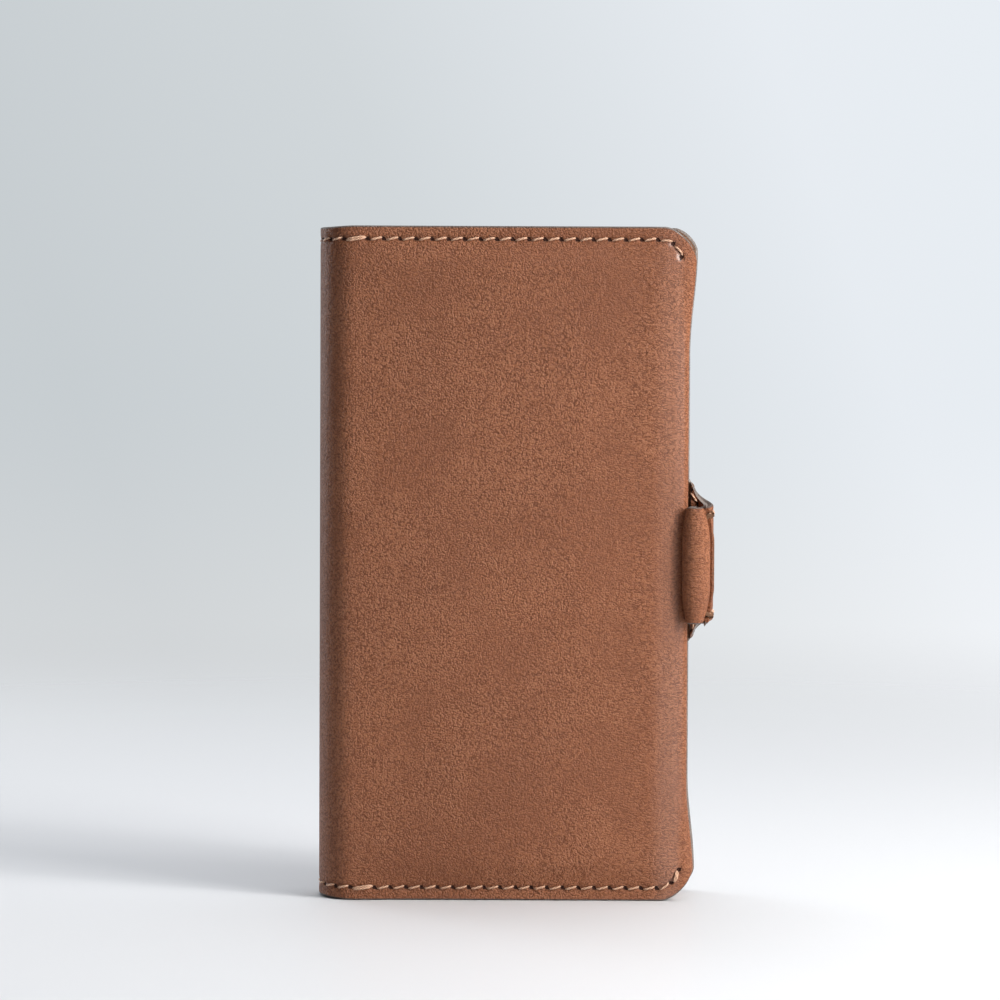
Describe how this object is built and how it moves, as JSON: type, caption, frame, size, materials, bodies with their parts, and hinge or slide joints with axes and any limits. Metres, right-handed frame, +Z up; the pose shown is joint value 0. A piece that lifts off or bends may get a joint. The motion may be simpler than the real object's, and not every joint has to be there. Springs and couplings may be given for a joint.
{
  "type": "leather folio wallet case",
  "caption": "Slim upright leather folio case: two covers on a round spine, inner device sleeve and card pockets, held shut by a stitched strap round the fore-edge.",
  "frame": {"origin": "centre of the bounding box in plan, on the ground the closed case stands on", "axes": "+X from the spine to the fore-edge, +Y from the front cover to the back cover, +Z up along the spine"},
  "size_m": [0.1027, 0.0216, 0.17],
  "materials": {
    "outer_leather": "mid-brown full-grain leather, satin, with a fine pebble grain",
    "inner_leather": "thin tan lining leather, matte",
    "thread": "waxed peach-tan sewing thread",
    "board": "grey-brown bonded fibre stiffener, matte",
    "magnet_steel": "nickel-plated steel, satin"
  },
  "bodies": {
    "back_panel": {"back_cover_leather": "outer_leather", "back_stiffener": "board", "back_lining_leather": "inner_leather", "phone_sleeve": "inner_leather", "back_top_thread": "thread", "back_bottom_thread": "thread"},
    "spine": {"spine_leather": "outer_leather", "spine_lining": "inner_leather", "spine_top_thread": "thread", "spine_bottom_thread": "thread"},
    "front_panel": {"front_cover_leather": "outer_leather", "front_stiffener": "board", "keeper_plate": "magnet_steel", "card_pocket_1": "inner_leather", "card_pocket_2": "inner_leather", "card_pocket_3": "inner_leather", "front_top_thread": "thread", "front_bottom_thread": "thread"},
    "closure_strap": {"strap_outer_leather": "outer_leather", "strap_lining_leather": "inner_leather", "strap_magnet_bar": "magnet_steel", "strap_top_thread": "thread", "strap_bottom_thread": "thread"}
  },
  "joints": [
    {"name": "back_crease", "type": "hinge", "parent": "back_panel", "child": "spine", "pos_m": [-0.04876, 0.00815, 0.085], "axis": [0, 0, -1], "range_deg": [0, 90]},
    {"name": "front_crease", "type": "hinge", "parent": "spine", "child": "front_panel", "pos_m": [-0.04876, -0.00677, 0.085], "axis": [0, 0, -1], "range_deg": [0, 90]},
    {"name": "strap_root", "type": "hinge", "parent": "back_panel", "child": "closure_strap", "pos_m": [0.04515, 0.01049, 0.085], "axis": [0, 0, 1], "range_deg": [0, 90]}
  ],
  "couplings": [
    {"joint": "front_crease", "follows": "back_crease", "ratio": 1}
  ]
}
